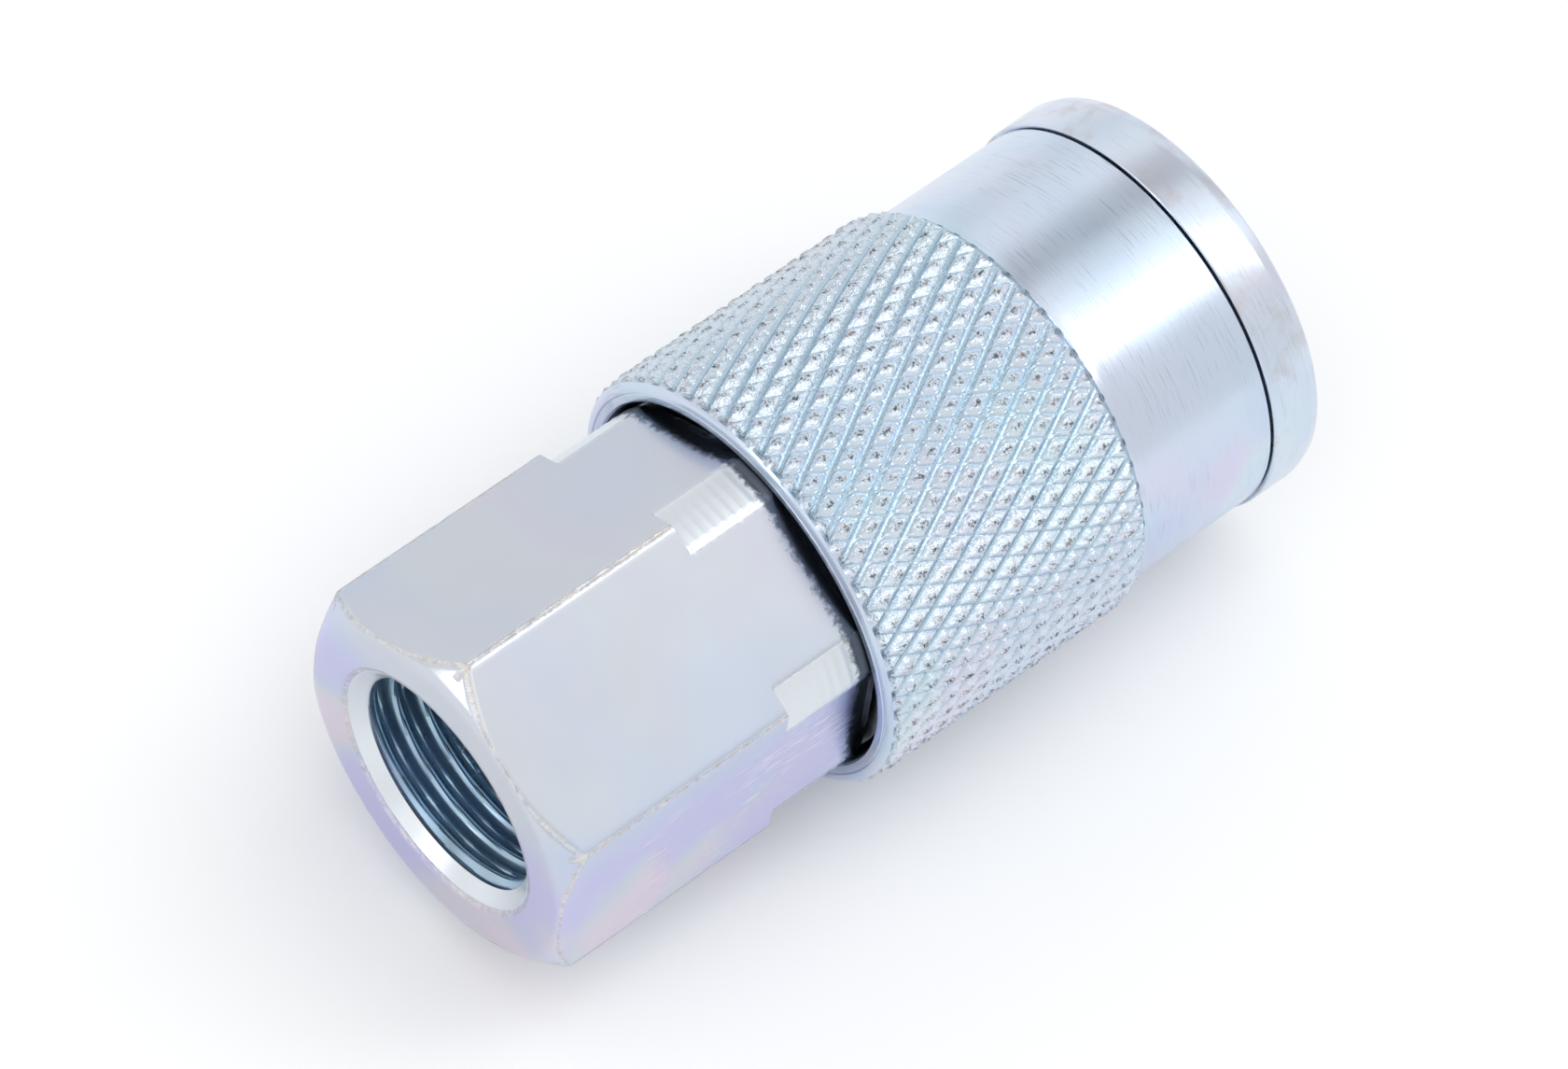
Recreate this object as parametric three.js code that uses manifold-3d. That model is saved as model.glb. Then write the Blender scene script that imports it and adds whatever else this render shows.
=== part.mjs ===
// Quick disconnect coupler, female half: hex adapter with a threaded port, socket body with
// locking balls, sprung knurled sleeve, push-open valve and the front collar round the mouth.
// Millimetres. +X runs along the coupler from the port face (x = 0) to the mouth, +Z is up.
import * as THREE from 'three';
import { mergeVertices } from 'three/addons/utils/BufferGeometryUtils.js';
import Module from 'manifold-3d';

const wasm = await Module();
wasm.setup();

// Driving dimensions: the outside
const hexAcrossFlats = 19.05;      // 3/4 inch spanner size
const hexLength = 20.2;            // port face to the shoulder that the sleeve spring rests on
const hexFaceInset = 1.5;          // from a hex point in to the flat end face, by a turned chamfer
const hexFaceChamfer = 1.3;        // length of that chamfer
const sleeveOverlap = 0.7;         // the sleeve's rear rim reaches this far back over the hex
const sleeveAroundHex = 1.025;     // from a flat of the hex out to the bore of the sleeve
const sleeveWall = 0.73;
const knurlHeight = 0.7;           // the knurled grip stands this far above the plain front
const knurlLength = 17.44;
const collarLength = 3.17;
const collarProud = 0.22;          // above the plain front of the sleeve
const gapAtCollar = 0.3;           // dark line between the sleeve and the collar

// Driving dimensions: the port
const portRadius = 6.05;           // between thread crest and root
const portDepth = 12.3;
const portCountersink = 7.07;
const webLength = 2;               // wall that carries the valve guide

// Driving dimensions: the socket
const plugBore = 6;                // radius
const ballRadius = 1.5875;         // 1/8 inch ball
const ballCount = 6;
const ballReach = 0.5675;          // a locked ball stands this far into the bore
const ballProud = 0.1075;          // and this far out of the cage
const seatToBalls = 10;
const landLength = 5.5;            // sleeve land behind the balls
const lipLength = 1.23;            // sleeve lip in front of the ball recess
const recessLength = 2;
const neckLength = 3.5;
const packingSpace = 3.7;
const packingDepth = 0.9;
const bodyWall = 1.1;              // round the adapter's boss
const bossWall = 1.7;
const bossLength = 7;
const seatWidth = 1.2;             // of the valve seat
const mouthChamfer = 1.2;

// Driving dimensions: the motions
const sleeveTravel = 5;
const valveTravel = 4;
const ballRelease = 0.3825;        // a released ball clears the bore by this

// Driving dimensions: springs, rings and clearances
const sleeveWire = 0.42;           // wire radius
const sleeveTurns = 5;
const valveWire = 0.3;
const valveTurns = 5;
const washerThickness = 0.6;
const snapWire = 0.4;
const running = 0.2;               // sleeve on body, sleeve on hex points
const seating = 0.1;               // faces that rest on each other
const parting = 0.3;               // faces of fixed neighbours
const round = 48;                  // sides of a large turned piece
const fine = 36;                   // sides of a small one
const coilSteps = 12;              // steps to a turn of wire
const wireSides = 6;

// Radii that follow from them, from the bore outward
const ballSeat = plugBore - ballReach + ballRadius;             // ball centre when locked
const ballLift = ballReach + ballRelease;
const bodyRadius = ballSeat + ballRadius - ballProud;           // outside of the ball cage
const bossRadius = bodyRadius - bodyWall - running;
const chamberRadius = bossRadius - bossWall;                    // bore that holds the valve
const neckRadius = chamberRadius - seatWidth;                   // hole that the valve closes
const passageRadius = neckRadius - 0.1;
const packingRadius = plugBore + packingDepth;
const mouthRadius = plugBore + mouthChamfer;
const collarSeat = bodyRadius - 0.5;                            // the body inside the collar
const sleeveBore = bodyRadius + running;
const sleeveSpringRadius = bodyRadius + 0.48 + sleeveWire;
const chamberForSpring = sleeveSpringRadius + sleeveWire + 0.5;
const sleeveChamber = Math.max(hexAcrossFlats / 2 + sleeveAroundHex, chamberForSpring);
const reliefRadius = sleeveChamber - running;
const sleeveRadius = sleeveChamber + sleeveWall;
const knurlRadius = sleeveRadius + knurlHeight;
const collarRadius = sleeveRadius + collarProud;
const valveSpringRadius = chamberRadius - 1.3;

// Stations along X that follow from them, from the port to the mouth
const chamberRear = portDepth + webLength;
const bodyRear = hexLength + parting;
const bossFront = hexLength + bossLength;
const seatFace = bossFront + parting;
const packingRear = seatFace + neckLength;
const packingFront = packingRear + packingSpace;
const ballPlane = seatFace + seatToBalls;
const recessFront = ballPlane + sleeveTravel + recessLength;
const sleeveRear = hexLength - sleeveOverlap;
const sleeveFront = recessFront + lipLength;
const sleeveShoulder = ballPlane - landLength;
const knurlFront = sleeveRear + knurlLength;
const collarRear = sleeveFront + gapAtCollar;
const collarFront = collarRear + collarLength;
const bodyEnd = collarFront - 0.2;
const snapPlace = collarFront - 1.1;
const reliefStart = sleeveRear - sleeveTravel - parting;
const thrustWasher = sleeveShoulder - seating - washerThickness;

const steel = new THREE.MeshStandardMaterial({ color: 0xc4cdd8, metalness: 1, roughness: 0.28 });
const knurledSteel = new THREE.MeshStandardMaterial({ color: 0xbcc7d2, metalness: 1, roughness: 0.35 });
const springSteel = new THREE.MeshStandardMaterial({ color: 0x8d9298, metalness: 1, roughness: 0.35 });
const ballSteel = new THREE.MeshStandardMaterial({ color: 0xdfe3e6, metalness: 1, roughness: 0.1 });
const brass = new THREE.MeshStandardMaterial({ color: 0xc9a656, metalness: 1, roughness: 0.3 });
const nitrile = new THREE.MeshStandardMaterial({ color: 0x1c1d1f, metalness: 0, roughness: 0.6 });
const ptfe = new THREE.MeshStandardMaterial({ color: 0xe9e8e2, metalness: 0, roughness: 0.5 });

const coupler = new THREE.Group();

// Closed triangle mesh with shared corners, facing out
function closedMesh(geometry) {
  const bare = geometry.clone();
  bare.deleteAttribute('normal');
  bare.deleteAttribute('uv');
  const merged = mergeVertices(bare, 1e-4);
  const places = merged.attributes.position.array;
  const corners = merged.index.array;
  const kept = [];
  let volume = 0;
  const a = new THREE.Vector3();
  const b = new THREE.Vector3();
  const c = new THREE.Vector3();
  for (let i = 0; i < corners.length; i += 3) {
    const [p, q, r] = [corners[i], corners[i + 1], corners[i + 2]];
    if (p === q || q === r || r === p) continue;
    a.fromArray(places, p * 3);
    b.fromArray(places, q * 3);
    c.fromArray(places, r * 3);
    volume += a.dot(b.cross(c));
    kept.push(p, q, r);
  }
  const triangles = volume < 0 ? kept.reverse() : kept;
  return new wasm.Mesh({ numProp: 3, vertProperties: places, triVerts: Uint32Array.from(triangles) });
}

function solid(geometry) {
  return new wasm.Manifold(closedMesh(geometry));
}

function geometryOf(manifold) {
  const mesh = manifold.getMesh();
  const geometry = new THREE.BufferGeometry();
  geometry.setAttribute('position', new THREE.BufferAttribute(mesh.vertProperties, 3));
  geometry.setIndex(new THREE.BufferAttribute(mesh.triVerts, 1));
  return geometry;
}

function addPiece(name, manifold, material, parent = coupler) {
  const mesh = new THREE.Mesh(geometryOf(manifold), material);
  mesh.name = name;
  parent.add(mesh);
  return mesh;
}

// Solid of revolution about X from an outline of [x, radius] points that ends where it starts
// or starts and ends on the axis
function turned(outline, sides = round) {
  const points = outline.map(([x, radius]) => new THREE.Vector2(radius, x));
  return solid(new THREE.LatheGeometry(points, sides).rotateZ(-Math.PI / 2));
}

function turnedRing(outline, sides = round) {
  return turned([...outline, outline[0]], sides);
}

function washer(rear, front, inner, outer, sides = round) {
  return turnedRing([[rear, inner], [rear, outer], [front, outer], [front, inner]], sides);
}

// Wire of round section along a curve
function wire(curve, radius, steps) {
  const section = new THREE.Shape();
  for (let i = 0; i < wireSides; i += 1) {
    const angle = (i / wireSides) * 2 * Math.PI;
    const corner = [radius * Math.cos(angle), radius * Math.sin(angle)];
    if (i === 0) section.moveTo(...corner);
    else section.lineTo(...corner);
  }
  section.closePath();
  return solid(new THREE.ExtrudeGeometry(section, { steps, extrudePath: curve }));
}

class Coil extends THREE.Curve {
  constructor(radius, rear, front, turns) {
    super();
    Object.assign(this, { radius, rear, front, turns });
  }

  getPoint(t, target = new THREE.Vector3()) {
    const angle = t * this.turns * 2 * Math.PI;
    const x = this.rear + t * (this.front - this.rear);
    return target.set(x, this.radius * Math.sin(angle), this.radius * Math.cos(angle));
  }
}

// Hex adapter: spanner hex with its points turned down at the front, where the sleeve rim runs
// over them, a countersunk port at the rear and a boss at the front that screws into the body
const boreOutline = [
  [-1, 0], [-1, portCountersink + 1], [0, portCountersink], [1, portRadius],
  [portDepth, portRadius], [portDepth, passageRadius], [chamberRear, passageRadius],
  [chamberRear, chamberRadius], [bossFront + 1, chamberRadius], [bossFront + 1, 0],
];

function makeAdapter() {
  const hexPoint = hexAcrossFlats / 2 / Math.cos(Math.PI / 6);
  const hexagon = new THREE.Shape();
  for (let i = 0; i < 6; i += 1) {
    const angle = (i / 6) * 2 * Math.PI;
    const corner = [hexPoint * Math.cos(angle), hexPoint * Math.sin(angle)];
    if (i === 0) hexagon.moveTo(...corner);
    else hexagon.lineTo(...corner);
  }
  hexagon.closePath();
  const bar = new THREE.ExtrudeGeometry(hexagon, { depth: hexLength, bevelEnabled: false });
  bar.rotateY(Math.PI / 2);   // along X, with a point up
  const outside = hexPoint + 0.5;
  const envelope = turned([
    [0, 0], [0, hexPoint - hexFaceInset], [hexFaceChamfer, hexPoint], [hexFaceChamfer + 0.3, outside],
    [reliefStart, outside], [reliefStart, reliefRadius], [hexLength - 0.5, reliefRadius],
    [hexLength, reliefRadius - 0.5], [hexLength, 0],
  ]);
  // the boss has a groove at its root for the body O-ring
  const boss = turned([
    [hexLength - 1, 0], [hexLength - 1, bossRadius], [bodyRear + 0.2, bossRadius],
    [bodyRear + 0.2, bossRadius - 0.95], [bodyRear + 1.7, bossRadius - 0.95],
    [bodyRear + 1.7, bossRadius], [bossFront - 0.4, bossRadius], [bossFront, bossRadius - 0.4],
    [bossFront, 0],
  ], fine);
  return solid(bar).intersect(envelope).add(boss).subtract(turned(boreOutline, fine));
}

// Socket body: valve seat, packing groove, ball cage and the mouth
function makeBody() {
  const counterbore = bossRadius + running;
  const tube = turnedRing([
    [bodyRear, counterbore], [bodyRear, bodyRadius], [collarRear - seating, bodyRadius],
    [collarRear - seating, collarSeat], [snapPlace - 0.45, collarSeat],
    [snapPlace - 0.45, collarSeat - 0.4], [snapPlace + 0.45, collarSeat - 0.4],
    [snapPlace + 0.45, collarSeat], [bodyEnd, collarSeat], [bodyEnd, mouthRadius],
    [bodyEnd - mouthChamfer, plugBore], [packingFront, plugBore], [packingFront, packingRadius],
    [packingRear, packingRadius], [packingRear, neckRadius], [seatFace, neckRadius],
    [seatFace, counterbore],
  ]);
  // each ball hole narrows inward, so that a ball reaches into the bore but can't fall through
  const lip = ballRadius - 0.19;
  const drill = new THREE.LatheGeometry([
    [0, plugBore - 1], [lip, plugBore - 1], [lip, plugBore + 0.12], [ballRadius + 0.17, ballSeat - 0.05],
    [ballRadius + 0.17, bodyRadius + 1], [0, bodyRadius + 1],
  ].map(([r, y]) => new THREE.Vector2(r, y)), 20);
  drill.rotateX(Math.PI / 2).translate(ballPlane, 0, 0);
  let body = tube;
  for (let i = 0; i < ballCount; i += 1) {
    const hole = drill.clone().rotateX((i / ballCount) * 2 * Math.PI);
    body = body.subtract(solid(hole));
  }
  return body;
}

// Locking sleeve: knurled grip and plain front outside; inside, from the rear, the spring chamber,
// the land that holds the balls in, the ramp and recess that let them out, and the front lip
function makeSleeve() {
  const recess = sleeveBore + ballLift;
  return turnedRing([
    [sleeveRear, sleeveChamber + 0.2], [sleeveRear, knurlRadius - 0.9],
    [sleeveRear + 0.3, knurlRadius - 0.35], [sleeveRear + 1, knurlRadius],
    [knurlFront - 0.7, knurlRadius], [knurlFront, sleeveRadius],
    [sleeveFront - 0.3, sleeveRadius], [sleeveFront, sleeveRadius - 0.3],
    [sleeveFront, sleeveBore], [recessFront, sleeveBore], [recessFront, recess],
    [ballPlane + sleeveTravel, recess], [ballPlane + 0.2, sleeveBore],
    [sleeveShoulder, sleeveBore], [sleeveShoulder, sleeveChamber],
    [sleeveRear + 0.4, sleeveChamber],
  ]);
}

// Front collar: seats on the step of the body and is held there by the snap ring
function makeCollar() {
  const counterbore = collarSeat + 1;
  const bore = collarSeat + 0.15;
  return turnedRing([
    [collarRear, bore], [collarRear, collarRadius - 0.3], [collarRear + 0.3, collarRadius - 0.08],
    [collarRear + 1.4, collarRadius], [collarFront - 0.9, collarRadius],
    [collarFront - 0.3, collarRadius - 0.3], [collarFront, collarRadius - 0.9],
    [collarFront, counterbore], [snapPlace - snapWire - seating, counterbore],
    [snapPlace - snapWire - seating, bore],
  ]);
}

// Valve poppet: stem in the guide, head behind its seal, and a cross-slotted nose that the plug pushes
const headRear = seatFace - 3.1;
const headFront = seatFace - 1.3;
const noseRadius = neckRadius - 0.8;
const noseFront = packingRear - 0.3;
const stemRadius = 1.6;
const stemRear = portDepth + parting + valveTravel;   // stays out of the port when pushed in
const guideFront = stemRear + 0.9;

function makePoppet() {
  const poppet = turned([
    [stemRear, 0], [stemRear, stemRadius], [headRear, stemRadius],
    [headRear, chamberRadius - 0.4], [headFront, chamberRadius - 0.4], [headFront, noseRadius],
    [noseFront, noseRadius], [noseFront, 0],
  ], 32);
  const slotDepth = 2;
  const slot = new THREE.BoxGeometry(slotDepth, 1.8, 4 * noseRadius);
  slot.translate(noseFront - slotDepth / 2 + 0.01, 0, 0);
  return poppet.subtract(solid(slot)).subtract(solid(slot.clone().rotateX(Math.PI / 2)));
}

// Valve guide: a spider with a hub for the stem and four holes for the flow
function makeGuide() {
  const rear = chamberRear + seating;
  const flange = rear + 1;
  const outer = chamberRadius - seating;
  const hub = stemRadius + 0.8;
  let guide = turnedRing([
    [rear, stemRadius + 0.12], [rear, outer], [flange, outer], [flange, hub],
    [guideFront, hub], [guideFront, stemRadius + 0.12],
  ], 32);
  const flow = new THREE.CylinderGeometry(0.9, 0.9, 4, 16).rotateZ(Math.PI / 2);
  flow.translate(rear, 0, (hub + passageRadius) / 2 + 0.1);
  for (let i = 0; i < 4; i += 1) {
    guide = guide.subtract(solid(flow.clone().rotateX((i / 4 + 1 / 8) * 2 * Math.PI)));
  }
  return guide;
}

// C-shaped snap ring, open at the bottom
function makeSnapRing() {
  const half = 0.93 * Math.PI;
  const points = [];
  for (let i = 0; i <= fine; i += 1) {
    const angle = -half + (i / fine) * 2 * half;
    const radius = collarSeat + 0.05;
    points.push(new THREE.Vector3(snapPlace, radius * Math.sin(angle), radius * Math.cos(angle)));
  }
  return wire(new THREE.CatmullRomCurve3(points), snapWire, fine);
}

function makeBodyRing() {
  const centre = bodyRear + 0.95;
  const ring = new THREE.TorusGeometry(bossRadius - 0.35, 0.5, wireSides, fine).rotateY(Math.PI / 2);
  return solid(ring.translate(centre, 0, 0));
}

function makePacking() {
  const rear = packingRear + 0.3;
  const inner = plugBore - 1.25;
  const outer = packingRadius - 0.15;
  return turnedRing([
    [rear, inner + 0.9], [rear, outer], [rear + 2.4, outer], [rear + 2.4, inner + 0.4],
    [rear + 1.6, inner], [rear + 0.6, inner],
  ], fine);
}

addPiece('rear_adapter', makeAdapter(), steel);
addPiece('socket_body', makeBody(), steel);
addPiece('front_collar', makeCollar(), steel);
addPiece('collar_snap_ring', makeSnapRing(), springSteel);
addPiece('body_o_ring', makeBodyRing(), nitrile);
addPiece('plug_packing', makePacking(), nitrile);
const backupRear = packingRear + 2.85;
const backup = washer(backupRear, packingFront - 0.15, plugBore - 0.9, packingRadius - 0.15, fine);
addPiece('packing_backup_ring', backup, ptfe);
addPiece('valve_guide', makeGuide(), brass);

const springGap = valveWire + 0.15;
const valveCoil = new Coil(valveSpringRadius, chamberRear + seating + 1 + springGap, headRear - springGap, valveTurns);
addPiece('valve_spring', wire(valveCoil, valveWire, coilSteps * valveTurns), springSteel);
addPiece('valve_poppet', makePoppet(), brass);
const valveSeal = washer(headFront + 0.15, seatFace - seating - 0.05, noseRadius + seating, chamberRadius - 0.3, 32);
addPiece('valve_seal', valveSeal, nitrile);

const washerBore = bodyRadius + seating;
const rearRing = washer(bodyRear, bodyRear + washerThickness, washerBore, reliefRadius - 0.15);
addPiece('rear_spring_washer', rearRing, springSteel);
const frontRing = washer(thrustWasher, thrustWasher + washerThickness, washerBore, sleeveChamber - 0.25);
addPiece('sleeve_thrust_washer', frontRing, springSteel);
const coilRear = bodyRear + washerThickness + sleeveWire + seating;
const coilFront = thrustWasher - sleeveWire - seating;
const sleeveCoil = new Coil(sleeveSpringRadius, coilRear, coilFront, sleeveTurns);
addPiece('sleeve_spring', wire(sleeveCoil, sleeveWire, coilSteps * sleeveTurns), springSteel);
addPiece('locking_sleeve', makeSleeve(), knurledSteel);

// Locking balls, each in a group turned to its hole
const ball = solid(new THREE.SphereGeometry(ballRadius, 12, 8));
for (let i = 0; i < ballCount; i += 1) {
  const place = new THREE.Group();
  place.rotation.x = (i / ballCount) * 2 * Math.PI;
  coupler.add(place);
  const mesh = addPiece(`locking_ball_${i + 1}`, ball, ballSteel, place);
  mesh.position.set(ballPlane, 0, ballSeat);
}

export default coupler;
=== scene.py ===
# Quick disconnect coupler, female half. The port's face is at x = 0, the mouth at +X, and a point
# of the hex is straight up (+Z).
# Sizes below are in millimetres; meshes are made in metres with mm.
import math

import bmesh
import bpy
import numpy as np
from mathutils import Matrix, Vector


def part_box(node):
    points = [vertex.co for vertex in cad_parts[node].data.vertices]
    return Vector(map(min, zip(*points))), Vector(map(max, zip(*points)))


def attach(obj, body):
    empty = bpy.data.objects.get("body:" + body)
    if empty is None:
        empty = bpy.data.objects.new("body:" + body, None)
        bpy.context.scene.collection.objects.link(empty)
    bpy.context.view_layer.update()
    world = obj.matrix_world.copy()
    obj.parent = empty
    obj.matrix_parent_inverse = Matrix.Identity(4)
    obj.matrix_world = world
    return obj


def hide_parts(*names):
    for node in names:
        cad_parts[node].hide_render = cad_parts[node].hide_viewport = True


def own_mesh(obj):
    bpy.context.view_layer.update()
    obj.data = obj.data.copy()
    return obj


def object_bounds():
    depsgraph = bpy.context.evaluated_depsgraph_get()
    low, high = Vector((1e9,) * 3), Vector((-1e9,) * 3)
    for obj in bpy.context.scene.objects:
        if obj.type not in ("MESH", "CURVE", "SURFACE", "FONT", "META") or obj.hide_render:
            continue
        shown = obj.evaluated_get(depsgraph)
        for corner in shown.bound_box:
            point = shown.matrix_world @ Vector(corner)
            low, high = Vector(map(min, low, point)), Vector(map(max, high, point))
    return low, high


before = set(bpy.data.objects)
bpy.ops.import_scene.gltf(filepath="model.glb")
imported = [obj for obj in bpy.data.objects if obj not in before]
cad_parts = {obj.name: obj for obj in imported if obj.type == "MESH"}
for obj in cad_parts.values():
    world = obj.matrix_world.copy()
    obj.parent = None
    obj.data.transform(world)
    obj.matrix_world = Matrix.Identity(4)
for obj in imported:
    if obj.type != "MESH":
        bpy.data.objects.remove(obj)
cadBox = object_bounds()
mm = 0.001
creaseDegrees = 32.0       # edges that turn more than this stay crisp


def boxOf(node):
    # x from and to, and the largest radius, of a CAD node
    low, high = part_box(node)
    return low[0] / mm, high[0] / mm, high[2] / mm


adapterBox = boxOf("rear_adapter")
bodyBox = boxOf("socket_body")
sleeveBox = boxOf("locking_sleeve")
collarBox = boxOf("front_collar")
packingBox = boxOf("plug_packing")
backupBox = boxOf("packing_backup_ring")
poppetBox = boxOf("valve_poppet")
sealBox = boxOf("valve_seal")
guideBox = boxOf("valve_guide")
snapBox = boxOf("collar_snap_ring")
oRingBox = boxOf("body_o_ring")
rearWasherBox = boxOf("rear_spring_washer")
thrustBox = boxOf("sleeve_thrust_washer")
sleeveSpringBox = boxOf("sleeve_spring")
valveSpringBox = boxOf("valve_spring")
ballBox = boxOf("locking_ball_1")
ballRadius = (ballBox[1] - ballBox[0]) / 2
ballPlane = (ballBox[0] + ballBox[1]) / 2
print("frame loaded")


def hexColour(code):
    # sRGB hex to linear
    values = [int(code[i:i + 2], 16) / 255 for i in (1, 3, 5)]
    linear = [v / 12.92 if v <= 0.04045 else ((v + 0.055) / 1.055) ** 2.4 for v in values]
    return (*linear, 1.0)


def addNode(tree, kind, *values, pick=0, **settings):
    # settings are attributes or named sockets, values fill the sockets in order; gives output number pick
    node = tree.nodes.new("ShaderNode" + kind)
    filled = []
    for key, value in settings.items():
        if hasattr(node, key):
            setattr(node, key, value)
        else:
            filled.append((node.inputs[key], value))
    filled += zip([socket for socket in node.inputs if socket.enabled], values)
    for socket, value in filled:
        if isinstance(value, bpy.types.NodeSocket):
            tree.links.new(value, socket)
        else:
            socket.default_value = value
    return [socket for socket in node.outputs if socket.enabled][pick] if node.outputs else node


def newMaterial(name):
    material = bpy.data.materials.new(name)
    material.use_nodes = True
    tree = material.node_tree
    tree.nodes.clear()
    shine = addNode(tree, "BsdfPrincipled")
    addNode(tree, "OutputMaterial", shine)
    coords = addNode(tree, "TexCoord", pick=3)         # the piece's own coordinates, in metres
    return material, tree, shine.node, coords


def perMetre(size):
    return 1 / (size * mm)


def grain(tree, coords, sizes, detail=2):
    # noise whose grains measure the given mm along x, y and z
    scaled = addNode(tree, "VectorMath", coords, tuple(map(perMetre, sizes)), operation="MULTIPLY")
    return addNode(tree, "TexNoise", scaled, 1, detail, 0.55)


def layered(tree, colour, *layers):
    # each layer is how much of it there is, and its colour
    for share, code in layers:
        colour = addNode(tree, "Mix", share, colour, hexColour(code), data_type="RGBA")
    return colour


def plugIn(tree, shader, colour, roughness, normal, metallic=1.0):
    for name, result in (("Base Color", colour), ("Roughness", roughness), ("Normal", normal)):
        tree.links.new(result, shader.inputs[name])
    shader.inputs["Metallic"].default_value = metallic


def addObject(name, data):
    made = bpy.data.objects.new(name, data)
    bpy.context.scene.collection.objects.link(made)
    return made


def newPiece(name, verts, faces, body, nodes, material, creaseAngle=creaseDegrees, marks=None):
    mesh = bpy.data.meshes.new(name)
    mesh.from_pydata(np.asarray(verts) * mm, [], faces)
    mesh.update()
    for key, values in (marks or {}).items():
        layer = mesh.attributes.new(key, "FLOAT", "POINT")
        layer.data.foreach_set("value", np.asarray(values, dtype=np.float32))
    mesh.shade_smooth()
    mesh.set_sharp_from_angle(angle=math.radians(creaseAngle))
    mesh.materials.append(material)
    piece = addObject(name, mesh)
    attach(piece, body)
    if nodes:
        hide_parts(*nodes)
    return piece


def roundTheAxis(x, radius, angles):
    # rows of stations and radii to points; angle 0 is up, +90 degrees is towards -Y
    y = -radius * np.sin(angles)
    z = radius * np.cos(angles)
    return np.stack([np.broadcast_to(x, y.shape), y, z], axis=-1)


def skinFaces(rows, columns, crossed=()):
    # quads between rows that wrap both ways; a crossed row's cells are four triangles each
    # round a middle point, numbered on from the grid
    faces = []
    middle = rows * columns
    for i in range(rows):
        below = i * columns
        above = ((i + 1) % rows) * columns
        for j in range(columns):
            k = (j + 1) % columns
            ring = (below + j, above + j, above + k, below + k)
            if i in crossed:
                faces += [(ring[s], ring[(s + 1) % 4], middle) for s in range(4)]
                middle += 1
            else:
                faces.append(ring)
    return faces


def rounded(outline, radii, steps=5):
    # [x, r] outline that closes on itself, each corner turned into an arc of its own radius
    points = []
    count = len(outline)
    for i, corner in enumerate(outline):
        here = np.array(corner, float)
        before = np.array(outline[i - 1], float) - here
        after = np.array(outline[(i + 1) % count], float) - here
        radius = radii[i] if isinstance(radii, (list, tuple)) else radii
        spans = np.linalg.norm(before), np.linalg.norm(after)
        a, b = before / spans[0], after / spans[1]
        half = math.acos(float(np.clip(a @ b, -1, 1))) / 2
        reach = radius / math.tan(half) if radius else 0
        if reach < 1e-4 or half > math.radians(86):
            points.append(here)
            continue
        limit = 0.45 * min(spans)
        if reach > limit:
            radius *= limit / reach
            reach = limit
        centre = here + (a + b) / np.linalg.norm(a + b) * radius / math.sin(half)
        start, end = here + a * reach - centre, here + b * reach - centre
        for s in range(steps + 1):
            blend = start * (1 - s / steps) + end * (s / steps)
            points.append(centre + blend / np.linalg.norm(blend) * radius)
    return np.array(points)


def turnedPiece(name, outline, radii, body, nodes, material, sides=192):
    # solid of revolution from an outline in order of rising x outside, falling x inside
    points = rounded(outline, radii)
    angles = np.linspace(0, 2 * math.pi, sides, endpoint=False)
    grid = roundTheAxis(points[:, :1], points[:, 1:] * np.ones(sides), angles)
    faces = skinFaces(len(points), sides)
    return newPiece(name, grid.reshape(-1, 3), faces, body, nodes, material)


def flatRing(name, box, bore, corner, body, nodes, material, sides=192):
    rear, front, radius = box
    outline = [(rear, bore), (rear, radius), (front, radius), (front, bore)]
    return turnedPiece(name, outline, corner, body, nodes, material, sides)


def wirePiece(name, path, radius, body, nodes, material, sides=14):
    # round wire along points, with domed ends
    path = np.array(path)
    along = np.gradient(path, axis=0)
    along /= np.linalg.norm(along, axis=1, keepdims=True)
    outward = path * np.array([0, 1, 1])
    outward -= (outward * along).sum(1, keepdims=True) * along
    outward /= np.linalg.norm(outward, axis=1, keepdims=True)
    side = np.cross(along, outward)
    rings = [(path[0], 0.0, -0.5), (path[0], 0.75, -0.4)]
    rings += [(p, 1.0, 0.0) for p in path]
    rings += [(path[-1], 0.75, 0.4), (path[-1], 0.0, 0.5)]
    index = [0, 0, *range(len(path)), len(path) - 1, len(path) - 1]
    turn = np.linspace(0, 2 * math.pi, sides, endpoint=False)
    verts = []
    for (centre, share, push), i in zip(rings, index):
        centre = centre + along[i] * push * radius * 0.8
        if share == 0:
            verts.append(centre)
            continue
        for angle in turn:
            spoke = math.cos(angle) * outward[i] + math.sin(angle) * side[i]
            verts.append(centre + radius * share * spoke)
    faces = []
    rows = len(rings) - 2
    for row in range(rows - 1):
        for j in range(sides):
            k = (j + 1) % sides
            a, b = 1 + row * sides, 1 + (row + 1) * sides
            faces.append((a + j, a + k, b + k, b + j))
    last = len(verts) - 1
    top = 1 + (rows - 1) * sides
    for j in range(sides):
        k = (j + 1) % sides
        faces.append((0, 1 + k, 1 + j))
        faces.append((last, top + j, top + k))
    return newPiece(name, verts, faces, body, nodes, material, creaseAngle=60)


def cutWith(piece, cutters):
    # takes the cutters' volumes out of a piece and removes the cutters
    for cutter in cutters:
        modifier = piece.modifiers.new("cut", "BOOLEAN")
        modifier.operation = "DIFFERENCE"
        modifier.solver = "EXACT"
        modifier.object = cutter
    graph = bpy.context.evaluated_depsgraph_get()
    mesh = bpy.data.meshes.new_from_object(piece.evaluated_get(graph), depsgraph=graph)
    piece.modifiers.clear()
    piece.data = mesh
    mesh.shade_smooth()
    mesh.set_sharp_from_angle(angle=math.radians(creaseDegrees))
    for cutter in cutters:
        bpy.data.objects.remove(cutter, do_unlink=True)


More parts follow.
